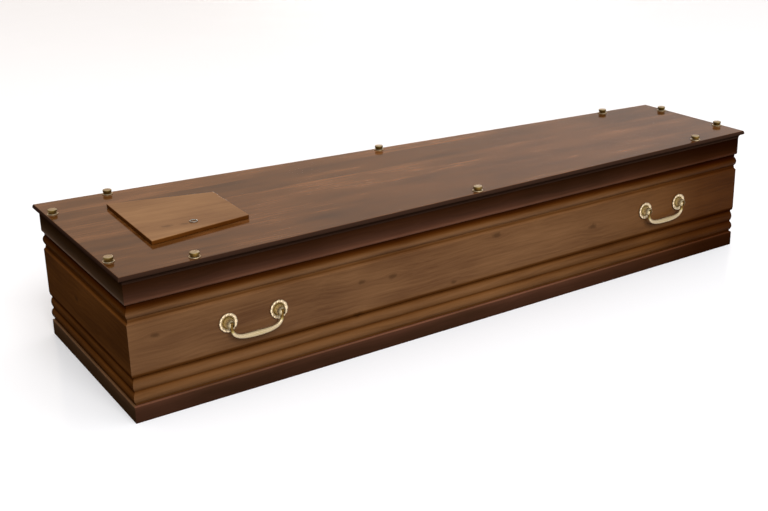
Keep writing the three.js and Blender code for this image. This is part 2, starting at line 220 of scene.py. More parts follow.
def wall_section():
    floor = -GROOVE_DEPTH
    points = [(-WALL_THICK, WALL_FOOT), (floor, WALL_FOOT)]
    points += bead(LOWER_BEAD, floor)
    points += bead(MIDDLE_BEAD, floor)
    points += [(floor, PANEL_COVE_FOOT)]
    points += arc((floor, PANEL_FOOT - PANEL_COVE[1]), PANEL_COVE, -90, -8, 5)[1:]
    groove_foot = PANEL_TOP + THIN_GROOVE_SLOPE
    points += [(0, PANEL_FOOT), (0, PANEL_TOP)]
    points += [(-THIN_GROOVE_DEPTH, groove_foot), (-THIN_GROOVE_DEPTH, groove_foot + THIN_GROOVE_FLAT)]
    points += bead(UPPER_BEAD, floor)
    points += [(floor, WALL_TOP), (-WALL_THICK, WALL_TOP)]
    return held(eased(points, EASED_EDGE))


def plinth_section():
    points = [(-WALL_THICK, 0), (0, 0)]
    points += arc((-PLINTH_ROUND, PLINTH_TOP - PLINTH_ROUND), (PLINTH_ROUND, PLINTH_ROUND), 0, 90, 8)
    points += [(-WALL_THICK, PLINTH_TOP)]
    return held(eased(points, PLINTH_EASED_EDGE))


def lid_rail_section():
    points = [(-WALL_THICK, LID_RAIL_FOOT)]
    points += arc((LID_RAIL_PROUD - LIP_ROUND, LID_RAIL_FOOT + LIP_ROUND), (LIP_ROUND, LIP_ROUND), -90, 0, 12)
    points += [(LID_RAIL_PROUD, LID_RAIL_TOP), (-WALL_THICK, LID_RAIL_TOP)]
    return held(points)


def lid_board_edge():
    widest = LID_OVERHANG + NOSE_REACH
    widest_level = LID_TOP - NOSE_BEVEL
    cove_level = LID_BOARD_FOOT + COVE_HEIGHT
    cove = arc((LID_OVERHANG, LID_BOARD_FOOT), (LID_OVERHANG - LID_RAIL_PROUD, COVE_HEIGHT), 180, 90, 10)
    nose = arc((LID_OVERHANG, widest_level), (NOSE_REACH, NOSE_BEVEL), 0, 90, 14)
    under_nose = (widest - NOSE_REACH / 6, (cove_level + widest_level) / 2)
    held_top = (LID_OVERHANG - 0.8, LID_TOP)
    return cove + [under_nose] + nose + [held_top]


def top_board_edge():
    soft = TOP_BOARD_ROUND
    arris = arc((-soft, TOP_BOARD_THICK - soft), (soft, soft), 0, 90, 6)
    chamfer = [(-TOP_BOARD_CHAMFER, 0), (0, TOP_BOARD_CHAMFER)]
    held_top = (-soft - 0.7, TOP_BOARD_THICK)
    return held(chamfer + arris + [held_top], closed=False)


# Mesh and object helpers


def link_object(name, mesh):
    piece = bpy.data.objects.new(name, mesh)
    bpy.context.scene.collection.objects.link(piece)
    return piece


def mesh_from(name, points, faces):
    mesh = bpy.data.meshes.new(name)
    mesh.from_pydata([Vector(p) * MM for p in points], [], faces)
    mesh.update()
    return mesh


def face_outwards(mesh):
    shape = bmesh.new()
    shape.from_mesh(mesh)
    bmesh.ops.remove_doubles(shape, verts=shape.verts, dist=1e-7)
    bmesh.ops.recalc_face_normals(shape, faces=shape.faces)
    shape.to_mesh(mesh)
    shape.free()


def fit_piece(name, mesh, material, slot, body, *nodes, crease_deg=32):
    """Puts a finished mesh on its body in place of the frame's own solids."""
    if not mesh.materials:
        mesh.materials.append(material)
    for polygon in mesh.polygons:
        polygon.use_smooth = True
    mesh.set_sharp_from_angle(angle=math.radians(crease_deg))
    piece = link_object(name, mesh)
    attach(piece, body)
    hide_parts(*nodes)
    return piece


def node(tree, kind, inputs=None, **settings):
    """One node with its settings, and with each input set to a value or linked from a socket."""
    made = tree.nodes.new(kind)
    for key, value in settings.items():
        setattr(made, key, value)
    for key, value in (inputs or {}).items():
        if isinstance(value, bpy.types.NodeSocket):
            tree.links.new(value, made.inputs[key])
        else:
            made.inputs[key].default_value = value
    return made


def linear(hex_colour):
    """An sRGB hex colour as linear red, green, blue and alpha."""
    channels = [int(hex_colour[i : i + 2], 16) / 255 for i in (1, 3, 5)]
    return tuple(c / 12.92 if c <= 0.04045 else ((c + 0.055) / 1.055) ** 2.4 for c in channels) + (1.0,)


# Finishes


def new_finish(name):
    """An empty finish, its node tree, and the place on the piece in metres."""
    finish = bpy.data.materials.new(name)
    finish.use_nodes = True
    tree = finish.node_tree
    tree.nodes.clear()
    return finish, tree, node(tree, "ShaderNodeTexCoord").outputs["Object"]


def ramp_stops(ramp, stops):
    elements = ramp.color_ramp.elements
    while len(elements) > 1:
        elements.remove(elements[-1])
    elements[0].position = stops[0][0]
    elements[0].color = stops[0][1]
    for position, colour in stops[1:]:
        elements.new(position).color = colour


# Metres from ring to ring of a wave texture at scale 1, and from ring to ring of the wood as drawn
WAVE_STEP = 0.314
RING_STEP = 0.013

# Heights along the walls' mouldings, with how much light each leaves: the sprayed stain gathered in the
# hollows, together with painted shade in the grooves and a painted highlight on the upper bead's crest
WALL_SPRAY_AND_SHADE = [
    (44, 0.4), (48.5, 0.6), (53, 0.86), (62, 0.9), (72, 0.78), (77.5, 0.5), (79.5, 0.5), (85, 0.82),
    (96, 0.94), (106, 0.74), (110, 0.5), (115, 0.38), (121, 0.5), (125.5, 0.95), (135, 1.0), (190, 1.0),
    (244, 0.97), (248.5, 0.95), (252.5, 0.8), (255, 0.62), (258, 0.64), (262, 0.84), (266, 0.98), (270, 1.05),
    (276, 0.86), (281, 0.54), (285, 0.32), (288, 0.24), (295.8, 0.18),
]
# The end boards were sprayed more evenly, with painted shade in their grooves and painted highlights along
# their arrises and bead crests
END_SPRAY_SHADE_AND_HIGHLIGHTS = [
    (44, 0.5), (48.5, 0.68), (53, 0.9), (62, 0.95), (70, 1.2), (74, 1.05), (77.5, 0.6), (79.5, 0.6),
    (85, 0.86), (96, 0.96), (103, 1.15), (107, 0.9), (110, 0.6), (115, 0.48), (121, 0.6), (125.5, 1.15),
    (135, 1.0), (190, 1.0), (244, 1.0), (247.5, 1.4), (249, 1.4), (252.5, 0.9), (255, 0.7), (258, 0.72),
    (262, 0.9), (268, 1.12), (276, 1.0), (281, 0.7), (285, 0.5), (288, 0.4), (295.8, 0.32),
]
# Lid rails: the dark stain deepened towards the top by painted shadow under the lid's overhang, and a painted
# highlight along the lip at the foot
RAIL_SPRAY_AND_SHADE = [
    (296, 1.4), (299, 2.7), (303, 2.5), (308, 1.6), (318, 1.08), (330, 0.82), (345, 0.64), (349, 0.55),
]
TOP_BOARD_SPRAY = [(373, 0.25), (376, 0.32), (382, 0.36), (383.4, 0.75), (384, 1.0), (385, 1.0)]
# Plinth: darker towards the floor, with a painted highlight along its rounded top arris
PLINTH_SPRAY_AND_HIGHLIGHT = [(0, 0.95), (12, 1.02), (26, 1.2), (36, 1.5), (40, 1.75), (42, 3.2), (44, 3.0)]
EVEN_SPRAY = [(0, 1.0), (400, 1.0)]


def stain_depth(light, most):
    """The tint for a level of light: below 1, deeper stain and painted shade, which take out blue before red;
    above 1, a painted highlight, the same in each channel.
    """
    if light >= 1:
        return (light / most,) * 3 + (1,)
    return (light / most, light**1.45 / most, light**2.4 / most, 1)


def drawn_out_noise(tree, place, scale, roughness, detail=3.0, shift=(0, 0, 0)):
    """Noise whose patches are 1 / scale metres long in each direction."""
    at = node(
        tree, "ShaderNodeMapping", {"Vector": place, "Location": shift, "Scale": scale}).outputs["Vector"]
    noise = {"Vector": at, "Scale": 1.0, "Detail": detail, "Roughness": roughness}
    return node(tree, "ShaderNodeTexNoise", noise).outputs


def stained_pine(
    name, dark, middle, pale, grain_deg=0, shift=(0, 0, 0), knots=(), spray_and_shade=EVEN_SPRAY, run=EVEN_SPRAY,
    board_width=0, heart=(0, 60), coat=0.08, knot_depth=0.55, edge_stain=None,
):
    """Pine under walnut stain and sprayed satin-gloss lacquer.

    The eye gets long soft streaks with the broad arches of flat-sawn growth rings, and darker knots with the
    grain flowing round them. Stain gathers in the hollows, with painted shade and painted highlights by
    height and painted light and shade along the length, and a thin clear film mirrors at a low angle.
    """
    finish, tree, place = new_finish(name)
    turn = Euler((0, 0, -math.radians(grain_deg)))
    board = node(tree, "ShaderNodeMapping", {"Vector": place, "Rotation": tuple(turn)}).outputs["Vector"]
    flow = board
    knot_dark = None
    if knots:
        # The rim of a knot is ragged over about 8 mm
        rag = node(
            tree, "ShaderNodeTexNoise", {"Vector": board, "Scale": 120.0, "Detail": 2.0}).outputs["Fac"]
        rag = node(tree, "ShaderNodeMath", {0: rag, 1: 1.3, 2: 0.35}, operation="MULTIPLY_ADD").outputs[0]
    for x, y, z, radius in knots:
        centre = Vector((x, y, z)) * MM
        centre.rotate(turn)
        away = node(
            tree, "ShaderNodeVectorMath", {0: board, 1: tuple(centre)}, operation="SUBTRACT").outputs[0]
        squeezed = node(
            tree, "ShaderNodeVectorMath", {0: away, 1: (0.55, 1, 1)}, operation="MULTIPLY").outputs[0]
        distance = node(tree, "ShaderNodeVectorMath", {0: squeezed}, operation="LENGTH").outputs["Value"]
        # Grain is pushed aside out to four and a half times the knot's own radius
        near_it = node(
            tree, "ShaderNodeMapRange",
            {"Value": distance, "From Max": radius * MM * 4.5, "To Min": 0.75, "To Max": 0.0},
            interpolation_type="SMOOTHERSTEP",
        ).outputs["Result"]
        pull = node(tree, "ShaderNodeVectorMath", {0: away, "Scale": near_it}, operation="SCALE").outputs[0]
        flow = node(tree, "ShaderNodeVectorMath", {0: flow, 1: pull}, operation="SUBTRACT").outputs[0]
        ragged = node(tree, "ShaderNodeMath", {0: distance, 1: rag}, operation="MULTIPLY").outputs[0]
        eye = node(
            tree, "ShaderNodeMapRange",
            {"Value": ragged, "From Min": radius * MM * 0.3, "From Max": radius * MM * 1.4,
             "To Min": knot_depth, "To Max": 0.0},
            interpolation_type="SMOOTHSTEP",
        ).outputs["Result"]
        knot_dark = eye if knot_dark is None else node(
            tree, "ShaderNodeMath", {0: knot_dark, 1: eye}, operation="MAXIMUM").outputs[0]
    if board_width:
        # The panel is glued up from boards, and each has its own part of the log and a tone of its own
        across = node(tree, "ShaderNodeSeparateXYZ", {"Vector": board}).outputs["Y"]
        strip = node(tree, "ShaderNodeMath", {0: across, 1: board_width * MM}, operation="DIVIDE").outputs[0]
        # No joint runs down the middle
        strip = node(tree, "ShaderNodeMath", {0: strip, 1: 0.37}, operation="ADD").outputs[0]
        strip = node(tree, "ShaderNodeMath", {0: strip}, operation="FLOOR").outputs[0]
        random = node(tree, "ShaderNodeTexWhiteNoise", {"W": strip}, noise_dimensions="1D")
        jump = node(
            tree, "ShaderNodeVectorMath",
            {0: random.outputs["Color"], 1: (3.0, 0.05, 0.04)},
            operation="MULTIPLY",
        ).outputs[0]
        flow = node(tree, "ShaderNodeVectorMath", {0: flow, 1: jump}, operation="ADD").outputs[0]
        strip_tone = random.outputs["Value"]
    # A log wanders slowly along its length: a swing of 12 mm over about 0.4 m
    wander = drawn_out_noise(tree, flow, (2.4, 7, 7), 0.5, 2.0, shift)["Color"]
    wander = node(
        tree, "ShaderNodeVectorMath", {0: wander, 1: (0.5, 0.5, 0.5)}, operation="SUBTRACT").outputs[0]
    wander = node(
        tree, "ShaderNodeVectorMath", {0: wander, 1: (0, 0.05, 0.05)}, operation="MULTIPLY").outputs[0]
    log = node(tree, "ShaderNodeVectorMath", {0: flow, 1: wander}, operation="ADD").outputs[0]
    heart_at = (0.0, -heart[0] * MM, heart[1] * MM)
    log = node(tree, "ShaderNodeVectorMath", {0: log, 1: heart_at}, operation="ADD").outputs[0]
    # Growth rings of pine are 3 to 5 mm apart, and are drawn coarser so that they show at this distance
    rings = node(
        tree, "ShaderNodeTexWave",
        {"Vector": log, "Scale": WAVE_STEP / RING_STEP, "Distortion": 3.5, "Detail": 2.0,
         "Detail Scale": 0.9, "Detail Roughness": 0.6},
        wave_type="RINGS", rings_direction="X", wave_profile="SIN",
    ).outputs["Fac"]
    # Soft streaks 20 to 40 mm wide and over half a metre long, where the stain took unevenly
    streaks = drawn_out_noise(tree, log, (1.5, 24, 24), 0.55, shift=shift)["Fac"]
    # Fibres 4 mm wide, drawn coarser than real ones so that they show
    fibres = drawn_out_noise(tree, log, (7, 260, 260), 0.6)["Fac"]
    # Cloudy patches a hand's breadth across, from the spray gun
    clouds = drawn_out_noise(tree, board, (4, 9, 9), 0.5, 2.0, shift)["Fac"]
    tone = node(tree, "ShaderNodeMath", {0: rings, 1: 0.035}, operation="MULTIPLY").outputs[0]
    for part, share in ((streaks, 0.38), (fibres, 0.27), (clouds, 0.38)):
        tone = node(tree, "ShaderNodeMath", {0: part, 1: share, 2: tone}, operation="MULTIPLY_ADD").outputs[0]
    if board_width:
        tone = node(
            tree, "ShaderNodeMath", {0: strip_tone, 1: 0.1, 2: tone}, operation="MULTIPLY_ADD").outputs[0]
    stain = node(tree, "ShaderNodeValToRGB", {"Fac": tone})
    ramp_stops(stain, [(0.38, linear(dark)), (0.58, linear(middle)), (0.8, linear(pale))])
    colour = stain.outputs["Color"]
    if knot_dark is not None:
        colour = node(
            tree, "ShaderNodeMix", {0: knot_dark, 6: colour, 7: linear("#33200f")}, data_type="RGBA",
        ).outputs[2]
    axes = node(tree, "ShaderNodeSeparateXYZ", {"Vector": place})
    film = coat
    for axis, stops in (("Z", spray_and_shade), ("X", run)):
        if stops is EVEN_SPRAY:
            continue
        low = stops[0][0]
        high = stops[-1][0]
        level = node(
            tree, "ShaderNodeMapRange",
            {"Value": axes.outputs[axis], "From Min": low * MM, "From Max": high * MM},
        ).outputs["Result"]
        shade = node(tree, "ShaderNodeValToRGB", {"Fac": level})
        most = max(light for _, light in stops)
        ramp_stops(shade, [((at - low) / (high - low), stain_depth(light, most)) for at, light in stops])
        lit = node(
            tree, "ShaderNodeVectorMath",
            {0: shade.outputs["Color"], "Scale": most},
            operation="SCALE",
        ).outputs[0]
        colour = node(tree, "ShaderNodeVectorMath", {0: colour, 1: lit}, operation="MULTIPLY").outputs[0]
        if axis == "Z":
            # Edges and hollows were rubbed down before the last coat and mirror less
            shine = {0: shade.outputs["Color"], 1: 3.0}
            film = node(tree, "ShaderNodeMath", shine, operation="POWER").outputs[0]
            film = node(tree, "ShaderNodeMath", {0: film, 1: coat}, operation="MULTIPLY").outputs[0]
    if edge_stain:
        # The board's edge below this level is sprayed the dark stain and left without the last coat
        level, hex_colour = edge_stain
        top_side = node(
            tree, "ShaderNodeMapRange",
            {"Value": axes.outputs["Z"], "From Min": (level - 0.7) * MM, "From Max": level * MM},
        ).outputs["Result"]
        colour = node(
            tree, "ShaderNodeMix", {0: top_side, 6: linear(hex_colour), 7: colour}, data_type="RGBA",
        ).outputs[2]
        film = node(tree, "ShaderNodeMath", {0: top_side, 1: coat}, operation="MULTIPLY").outputs[0]
    relief = node(tree, "ShaderNodeMath", {0: rings, 1: 0.1, 2: fibres}, operation="MULTIPLY_ADD").outputs[0]
    # The grain shows through the lacquer as a relief of about 0.015 mm
    bump = node(
        tree, "ShaderNodeBump", {"Height": relief, "Strength": 0.15, "Distance": 0.0001}).outputs["Normal"]
    roughness = node(
        tree, "ShaderNodeMapRange", {"Value": clouds, "To Min": 0.34, "To Max": 0.5}).outputs["Result"]
    # Lacquer wets the wood, so the wood has no shine of its own and only the film mirrors
    lacquer = node(
        tree, "ShaderNodeBsdfPrincipled",
        {"Base Color": colour, "Roughness": roughness, "Normal": bump, "IOR": 1.5, "Specular IOR Level": 0.0,
         "Coat Weight": film, "Coat Roughness": 0.11, "Coat IOR": 1.5},
    )
    node(tree, "ShaderNodeOutputMaterial", {"Surface": lacquer.outputs["BSDF"]})
    return finish


def cast_brass(name):
    """Pale yellow brass, sand cast, brushed and clear lacquered, its hollows left dark and greenish.

    The eye gets a soft warm shine on what stands proud, and dark olive in the recesses. A piece's darkening
    attribute says where its hollows are, and also carries painted shade: on the screw caps' sides and under
    them, and on the bail's ends and eyes inside the rosettes' slots.
    """
    finish, tree, place = new_finish(name)
    tarnish_and_shade = node(tree, "ShaderNodeAttribute", attribute_name="tarnish_and_shade").outputs["Fac"]
    # Casting grain about 1.5 mm across
    grain = node(
        tree, "ShaderNodeTexNoise",
        {"Vector": place, "Scale": 650.0, "Detail": 3.0, "Roughness": 0.6},
    ).outputs["Fac"]
    edge = node(tree, "ShaderNodeMath", {0: grain, 1: 0.5, 2: tarnish_and_shade}, operation="MULTIPLY_ADD").outputs[0]
    darkening = node(
        tree, "ShaderNodeMapRange",
        {"Value": edge, "From Min": 0.3, "From Max": 1.15},
        interpolation_type="SMOOTHSTEP",
    ).outputs["Result"]
    colours = node(tree, "ShaderNodeValToRGB", {"Fac": darkening})
    bright_to_darkened = ((0.0, "#cab696"), (0.25, "#ae9d7e"), (0.5, "#a3935c"), (1.0, "#694f24"))
    ramp_stops(colours, [(at, linear(hex_colour)) for at, hex_colour in bright_to_darkened])
    roughness = node(
        tree, "ShaderNodeMapRange", {"Value": darkening, "To Min": 0.42, "To Max": 0.62}).outputs["Result"]
    bump = node(
        tree, "ShaderNodeBump", {"Height": grain, "Strength": 0.25, "Distance": 0.0002}).outputs["Normal"]
    brass = node(
        tree, "ShaderNodeBsdfPrincipled",
        {"Base Color": colours.outputs["Color"], "Metallic": 1.0, "Roughness": roughness, "Normal": bump},
    )
    node(tree, "ShaderNodeOutputMaterial", {"Surface": brass.outputs["BSDF"]})
    return finish


def nickel_plate(name):
    """Nickel-plated wire: a bright, slightly warm grey shine, with faint marks about 1 mm long."""
    finish, tree, place = new_finish(name)
    marks = node(tree, "ShaderNodeTexNoise", {"Vector": place, "Scale": 900.0, "Detail": 2.0}).outputs["Fac"]
    roughness = node(
        tree, "ShaderNodeMapRange", {"Value": marks, "To Min": 0.28, "To Max": 0.42}).outputs["Result"]
    plate = node(
        tree, "ShaderNodeBsdfPrincipled",
        {"Base Color": linear("#a39d93"), "Metallic": 1.0, "Roughness": roughness},
    )
    node(tree, "ShaderNodeOutputMaterial", {"Surface": plate.outputs["BSDF"]})
    return finish


# Geometry Nodes trees


def new_tree(name, sockets):
    tree = bpy.data.node_groups.new(name, "GeometryNodeTree")
    tree.interface.new_socket("Geometry", in_out="INPUT", socket_type="NodeSocketGeometry")
    for label, kind in sockets:
        tree.interface.new_socket(label, in_out="INPUT", socket_type="NodeSocket" + kind)
    tree.interface.new_socket("Geometry", in_out="OUTPUT", socket_type="NodeSocketGeometry")
    return tree


def end_tree(tree, geometry, finish):
    """The end of each tree: its geometry made real and given its finish."""
    real = node(tree, "GeometryNodeRealizeInstances", {"Geometry": geometry}).outputs["Geometry"]
    done = node(tree, "GeometryNodeSetMaterial", {"Geometry": real, "Material": finish}).outputs["Geometry"]
    node(tree, "NodeGroupOutput", {"Geometry": done})
    return tree


def mitred_rail_tree():
    """A straight rail from one closed section, laid out in X (outwards) and Z, between two mitred corners."""
    tree = new_tree("mitred_rail", [
        ("Start corner", "Vector"), ("Start mitre", "Vector"),
        ("End corner", "Vector"), ("End mitre", "Vector"),
        ("Finish", "Material"),
    ])
    given = node(tree, "NodeGroupInput").outputs
    along = node(tree, "ShaderNodeCombineXYZ", {"Y": 1.0}).outputs["Vector"]
    stretched = node(
        tree, "GeometryNodeExtrudeMesh",
        {"Mesh": given["Geometry"], "Offset": along, "Offset Scale": 1.0, "Individual": False}, mode="FACES",
    )
    back = node(tree, "GeometryNodeFlipFaces", {"Mesh": given["Geometry"]}).outputs["Mesh"]
    closed = node(tree, "GeometryNodeJoinGeometry")
    tree.links.new(stretched.outputs["Mesh"], closed.inputs["Geometry"])
    tree.links.new(back, closed.inputs["Geometry"])
    merged = node(
        tree, "GeometryNodeMergeByDistance",
        {"Geometry": closed.outputs["Geometry"], "Distance": 1e-6},
    ).outputs[0]
    here = node(tree, "GeometryNodeInputPosition").outputs["Position"]
    part = node(tree, "ShaderNodeSeparateXYZ", {"Vector": here}).outputs
    ends = []
    for end in ("Start", "End"):
        out = node(
            tree, "ShaderNodeVectorMath",
            {0: given[end + " mitre"], "Scale": part["X"]},
            operation="SCALE",
        ).outputs[0]
        ends.append(node(
            tree, "ShaderNodeVectorMath", {0: given[end + " corner"], 1: out}, operation="ADD").outputs[0])
    plan = node(tree, "ShaderNodeMix", {0: part["Y"], 4: ends[0], 5: ends[1]}, data_type="VECTOR").outputs[1]
    height = node(tree, "ShaderNodeCombineXYZ", {"Z": part["Z"]}).outputs["Vector"]
    place = node(tree, "ShaderNodeVectorMath", {0: plan, 1: height}, operation="ADD").outputs[0]
    laid = node(tree, "GeometryNodeSetPosition", {"Geometry": merged, "Position": place}).outputs["Geometry"]
    return end_tree(tree, laid, given["Finish"])


def set_out_tree():
    """Copies of one piece on marked places, each turned by the place's own turn attribute."""
    tree = new_tree("set_out", [("Piece", "Object"), ("Finish", "Material")])
    given = node(tree, "NodeGroupInput").outputs
    turn = node(
        tree, "GeometryNodeInputNamedAttribute", {"Name": "turn"}, data_type="FLOAT_VECTOR",
    ).outputs["Attribute"]
    rotation = node(tree, "FunctionNodeEulerToRotation", {"Euler": turn}).outputs["Rotation"]
    piece = node(tree, "GeometryNodeObjectInfo", {"Object": given["Piece"]}).outputs["Geometry"]
    copies = node(
        tree, "GeometryNodeInstanceOnPoints",
        {"Points": given["Geometry"], "Instance": piece, "Rotation": rotation},
    ).outputs["Instances"]
    return end_tree(tree, copies, given["Finish"])


def bake(start_mesh, tree, values):
    """The plain mesh that a tree makes of a starting mesh with these named inputs."""
    holder = link_object("holder", start_mesh)
    modifier = holder.modifiers.new("shape", "NODES")
    modifier.node_group = tree
    for item in tree.interface.items_tree:
        if item.in_out == "INPUT" and item.name in values:
            modifier[item.identifier] = values[item.name]
    graph = bpy.context.evaluated_depsgraph_get()
    mesh = bpy.data.meshes.new_from_object(holder.evaluated_get(graph))
    holder.modifiers.remove(modifier)
    bpy.data.objects.remove(holder)
    return mesh


RAIL_TREE = mitred_rail_tree()
SET_OUT_TREE = set_out_tree()


def rail_mesh(edge, section, material):
    along = edge_direction(WALL_PLAN, edge) * MITRE_GAP / 2
    values = {"Finish": material}
    for label, corner, gap in (("Start", edge, along), ("End", edge + 1, -along)):
        at = (WALL_PLAN[corner % 4] + gap) * MM
        values[label + " corner"] = (at.x, at.y, 0.0)
        step = mitre_step(WALL_PLAN, corner)
        values[label + " mitre"] = (step.x, step.y, 0.0)
    flat = [(out, 0, height) for out, height in section]
    outline = mesh_from("section", flat, [tuple(range(len(section)))])
    mesh = bake(outline, RAIL_TREE, values)
    face_outwards(mesh)
    return mesh


def edged_board(name, plan, edge):
    """A flat board whose edge follows the same outline on all four sides."""
    points = []
    for out, height in edge:
        for corner in range(4):
            at = plan[corner] + mitre_step(plan, corner) * out
            points.append((at.x, at.y, height))
    faces = []
    for ring in range(len(edge) - 1):
        for corner in range(4):
            a = 4 * ring + corner
            b = 4 * ring + (corner + 1) % 4
            faces.append((a, b, b + 4, a + 4))
    top = 4 * (len(edge) - 1)
    faces.append((3, 2, 1, 0))
    faces.append((top, top + 1, top + 2, top + 3))
    return mesh_from(name, points, faces)


def mark_tarnish_and_shade(mesh, amounts):
    mesh.attributes.new("tarnish_and_shade", "FLOAT", "POINT").data.foreach_set("value", amounts)


def ring_faces(rings, segments, closed=False):
    """Faces from each ring of points to the next, where a pole is a ring of one point."""
    faces = []
    pairs = list(zip(rings, rings[1:]))
    if closed:
        pairs.append((rings[-1], rings[0]))
    for low, high in pairs:
        for i in range(segments):
            j = (i + 1) % segments
            corners = [low[i % len(low)], low[j % len(low)], high[j % len(high)], high[i % len(high)]]
            faces.append(tuple(dict.fromkeys(corners)))
    return faces


def turned(name, profile, segments, closed=False):
    """A piece turned on the Z axis from (radius, height, darkening by tarnish and painted shade), bottom
    first.
    """
    points, tarnish_and_shade, rings = [], [], []
    for radius, height, darkening in profile:
        count = 1 if radius < 1e-6 else segments
        rings.append(list(range(len(points), len(points) + count)))
        for i in range(count):
            angle = 2 * math.pi * i / segments
            points.append((radius * math.cos(angle), radius * math.sin(angle), height))
            tarnish_and_shade.append(darkening)
    mesh = mesh_from(name, points, ring_faces(rings, segments, closed))
    mark_tarnish_and_shade(mesh, tarnish_and_shade)
    return mesh


def place_marks(places):
    """Points with a turn each, for the set_out tree."""
    mesh = bpy.data.meshes.new("places")
    mesh.from_pydata([tuple(Vector(at) * MM) for at, _ in places], [], [])
    mesh.attributes.new("turn", "FLOAT_VECTOR", "POINT").data.foreach_set(
        "vector", [value for _, turn in places for value in turn])
    return mesh


def set_out(piece_mesh, places, material):
    piece = link_object("copied", piece_mesh)
    mesh = bake(place_marks(places), SET_OUT_TREE, {"Piece": piece, "Finish": material})
    bpy.data.objects.remove(piece)
    return mesh


def joined(name, meshes):
    """Several meshes as one, with their tarnish kept."""
    shape = bmesh.new()
    for mesh in meshes:
        shape.from_mesh(mesh)
    whole = bpy.data.meshes.new(name)
    shape.to_mesh(whole)
    shape.free()
    return whole


def moved(mesh, matrix):
    mesh.transform(matrix)
    if matrix.determinant() < 0:
        mesh.flip_normals()
    return mesh


# Fittings


def edge_place(edge, out, axis, value):
    """The point on an edge of the plan, moved out by a distance, with a given x (axis 0) or y (axis 1)."""
    start = WALL_PLAN[edge] + mitre_step(WALL_PLAN, edge) * out
    end = WALL_PLAN[(edge + 1) % 4] + mitre_step(WALL_PLAN, edge + 1) * out
    return start.lerp(end, (value - start[axis]) / (end[axis] - start[axis]))


def screw_places():
    out = LID_OVERHANG - SCREW_INSET
    end_x = WALL_LENGTH / 2 + LID_OVERHANG - SCREW_FROM_END
    head_y = (WALL_PLAN[HEAD] + mitre_step(WALL_PLAN, HEAD) * LID_OVERHANG).y - SCREW_FROM_HEAD_CORNER
    foot_y = (WALL_PLAN[FAR] + mitre_step(WALL_PLAN, FAR) * LID_OVERHANG).y - SCREW_FROM_FOOT_CORNER
    spots = [edge_place(NEAR, out, 0, x) for x in (-end_x, 0, end_x)]
    spots += [edge_place(FOOT, out, 1, y) for y in (-foot_y, foot_y)]
    spots += [edge_place(FAR, out, 0, x) for x in (end_x, 0, -end_x)]
    spots += [edge_place(HEAD, out, 1, y) for y in (head_y, -head_y)]
    return spots


def lid_screw_mesh():
    """A washer collar, a waisted neck and a flat cap with eased edges, as radius, height and darkening: the
    neck's is partly tarnish and partly painted shade under the cap, and the cap's side is painted shade.
    """
    profile = [
        (0, 0, 0.8), (14.2, 0, 0.8), (14.4, 0.3, 0.5), (14.4, 1.5, 0.1), (13.9, 2.0, 0.0), (13.0, 2.2, 0.05),
        (11.6, 2.0, 0.4), (10.2, 2.3, 0.8), (9.2, 3.2, 1.0), (9.0, 4.6, 1.0), (9.4, 5.4, 1.0),
        (10.6, 5.8, 1.0), (11.6, 6.3, 0.9), (12.0, 7.2, 0.85), (12.0, 10.2, 0.8), (12.0, 11.6, 0.7),
        (11.7, 12.3, 0.4), (11.1, 12.8, 0.18), (10.2, 13.1, 0.18), (9.0, 13.15, 0.18), (0, 13.2, 0.18),
    ]
    return turned("lid_screw", profile, 48)


# Radius, height, tarnish and share of the lobes; a rosette has Z out of the wall, Y up and X along the wall
ROSETTE_PROFILE = [
    (0, 0, 0.9, 0), (23.6, 0, 0.8, 1), (24.6, 1.2, 0.4, 1), (25.0, 2.8, 0.1, 1), (24.8, 3.9, 0.0, 1),
    (24.1, 4.8, 0.0, 1), (23.0, 5.4, 0.0, 0.9), (21.4, 5.6, 0.0, 0.8), (19.6, 5.3, 0.0, 0.6),
    (18.0, 4.7, 0.05, 0.45), (16.8, 4.0, 0.15, 0.3), (15.9, 3.3, 0.5, 0.1), (15.2, 2.9, 0.85, 0),
    (14.4, 2.9, 0.9, 0), (13.6, 3.4, 0.75, 0), (13.0, 4.3, 0.5, 0), (12.4, 6.2, 0.38, 0),
    (12.0, 9.0, 0.36, 0), (11.8, 12.0, 0.34, 0), (11.8, 14.0, 0.34, 0), (11.4, 16.8, 0.36, 0),
    (10.5, 19.4, 0.36, 0), (9.0, 21.9, 0.34, 0), (6.8, 23.9, 0.34, 0), (4.0, 25.1, 0.34, 0),
    (0, 25.5, 0.34, 0),
]
# What the valleys between the lobes take off the radius and off the height, and add to the tarnish
VALLEY_CUT = 1.1
VALLEY_FALL = 0.16
VALLEY_TARNISH = 0.2


def rosette_shell():
    """The casting before its slot is cut: a rim of twelve rounded lobes, a sunk ring and a domed hood."""
    segments, lobes = 120, 12
    points, tarnish_and_shade, rings = [], [], []
    for radius, height, darkening, scallop in ROSETTE_PROFILE:
        count = 1 if radius == 0 else segments
        rings.append(list(range(len(points), len(points) + count)))
        for i in range(count):
            angle = 2 * math.pi * i / segments
            valley = scallop * (1 - abs(math.cos(lobes / 2 * angle)) ** 0.5)
            reach = radius - VALLEY_CUT * valley
            level = height * (1 - VALLEY_FALL * valley)
            points.append((reach * math.cos(angle), reach * math.sin(angle), level))
            tarnish_and_shade.append(min(1.0, darkening + VALLEY_TARNISH * valley))
    mesh = mesh_from("rosette", points, ring_faces(rings, segments))
    mark_tarnish_and_shade(mesh, tarnish_and_shade)
    return mesh


def cut_off(shape, point, normal):
    """Removes what lies on the normal's side of a plane and closes the cut."""
    whole = shape.verts[:] + shape.edges[:] + shape.faces[:]
    cut = bmesh.ops.bisect_plane(
        shape, geom=whole, plane_co=Vector(point) * MM, plane_no=Vector(normal), clear_outer=True)["geom_cut"]
    rim = [part for part in cut if isinstance(part, bmesh.types.BMEdge)]
    bmesh.ops.holes_fill(shape, edges=rim)


